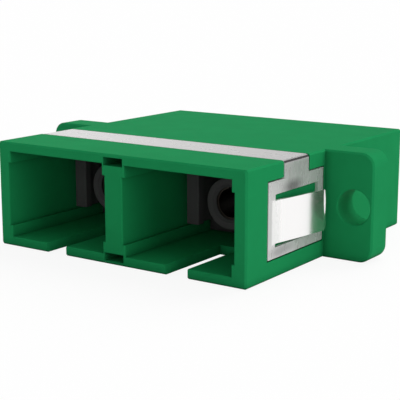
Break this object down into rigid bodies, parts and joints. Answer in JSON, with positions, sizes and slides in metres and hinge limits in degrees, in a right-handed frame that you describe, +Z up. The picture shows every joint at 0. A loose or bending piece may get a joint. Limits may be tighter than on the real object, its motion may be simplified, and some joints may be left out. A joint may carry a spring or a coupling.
{
  "type": "duplex sc fibre adapter",
  "caption": "Flanged panel adapter that joins square push-pull fibre plugs end to end in side-by-side ports, held by screws or by a wrap-round spring clip.",
  "frame": {"origin": "centre of the box, at its lower face: the flat underside, between the ports, in the weld plane of the housing", "axes": "+X across the two ports, +Y along the fibres towards the plain rear half, +Z up, away from the key slots"},
  "size_m": [0.0348, 0.0272, 0.0093],
  "materials": {
    "green_plastic": "satin moulded, fine grain",
    "spring_steel": "bright rolled strip",
    "dark_plastic": "satin moulded",
    "sleeve_bronze": "plain drawn, slightly dull"
  },
  "bodies": {
    "root": {"front_housing": "green_plastic", "rear_housing": "green_plastic", "panel_clip": "spring_steel", "right_front_sleeve_holder": "dark_plastic", "right_rear_sleeve_holder": "dark_plastic", "left_front_sleeve_holder": "dark_plastic", "left_rear_sleeve_holder": "dark_plastic", "right_split_sleeve": "sleeve_bronze", "left_split_sleeve": "sleeve_bronze"}
  },
  "joints": []
}
